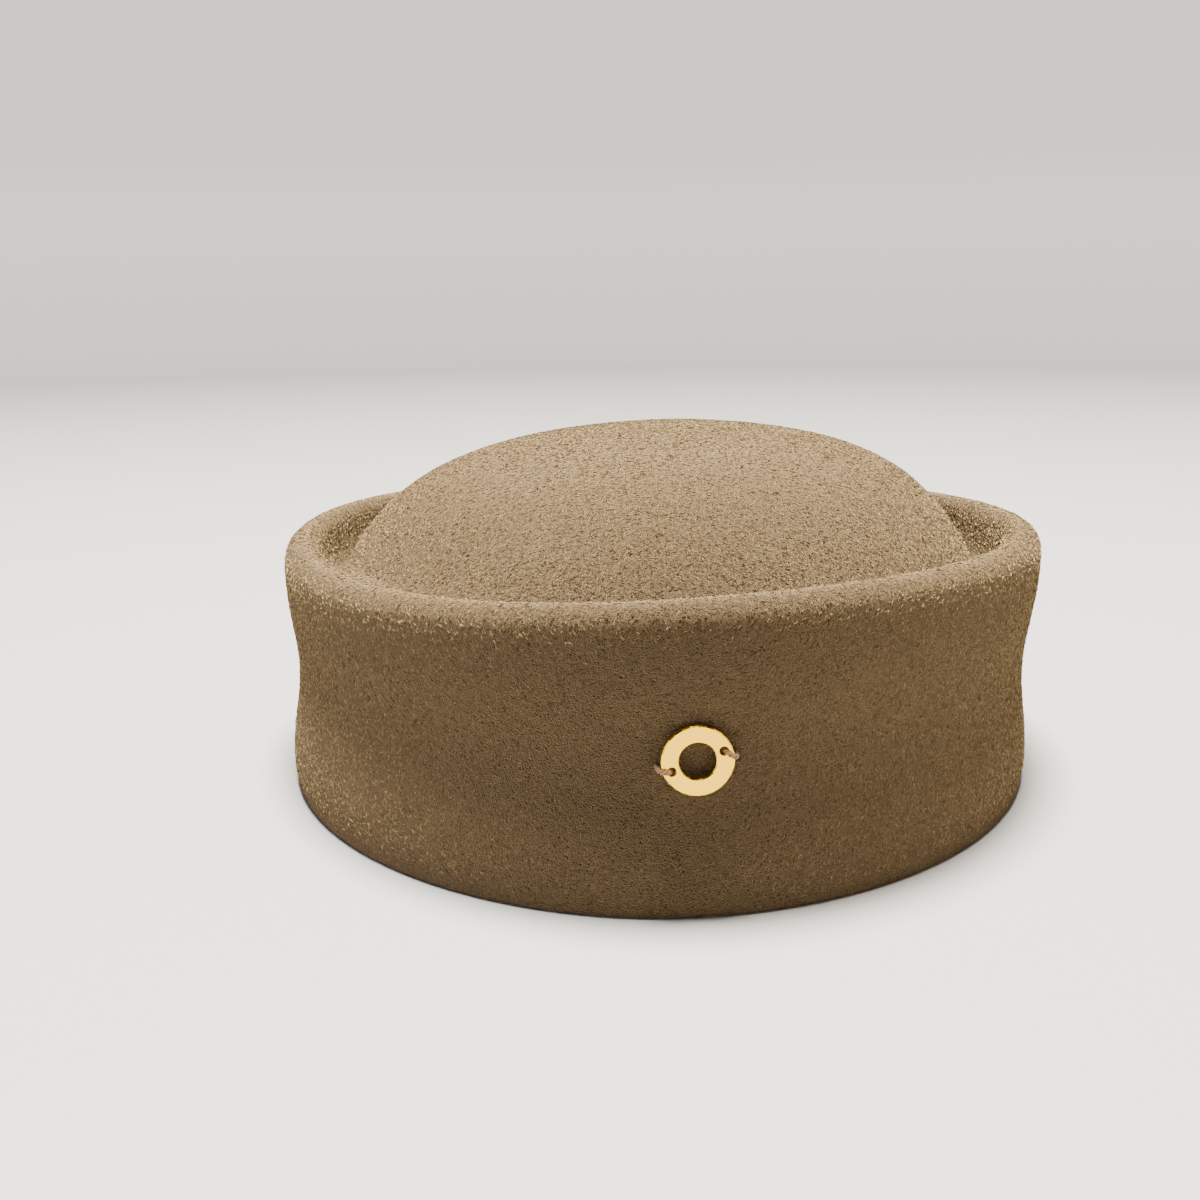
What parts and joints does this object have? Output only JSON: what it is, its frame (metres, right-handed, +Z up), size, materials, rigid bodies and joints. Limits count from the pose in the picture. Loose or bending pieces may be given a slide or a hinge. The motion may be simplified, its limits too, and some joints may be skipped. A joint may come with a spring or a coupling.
{
  "type": "domed pillbox hat",
  "caption": "Felt pillbox hat with a smooth oval dome set in a groove behind a thick rolled rim, a waisted wall and a flat metal ring sewn on the front.",
  "frame": {"origin": "on the surface that the hem stands on, under the middle of the hat's outline", "axes": "+Z up from the hem to the dome, -Y towards the front with the metal ring, +X to the right seen from the front"},
  "size_m": [0.1796, 0.2072, 0.0792],
  "materials": {
    "felt": "camel wool felt, short matted fibres, matt",
    "gold": "pale gold plate, polished flat",
    "thread": "brown sewing thread"
  },
  "bodies": {
    "root": {"felt_body": "felt", "charm_ring": "gold"}
  },
  "joints": []
}
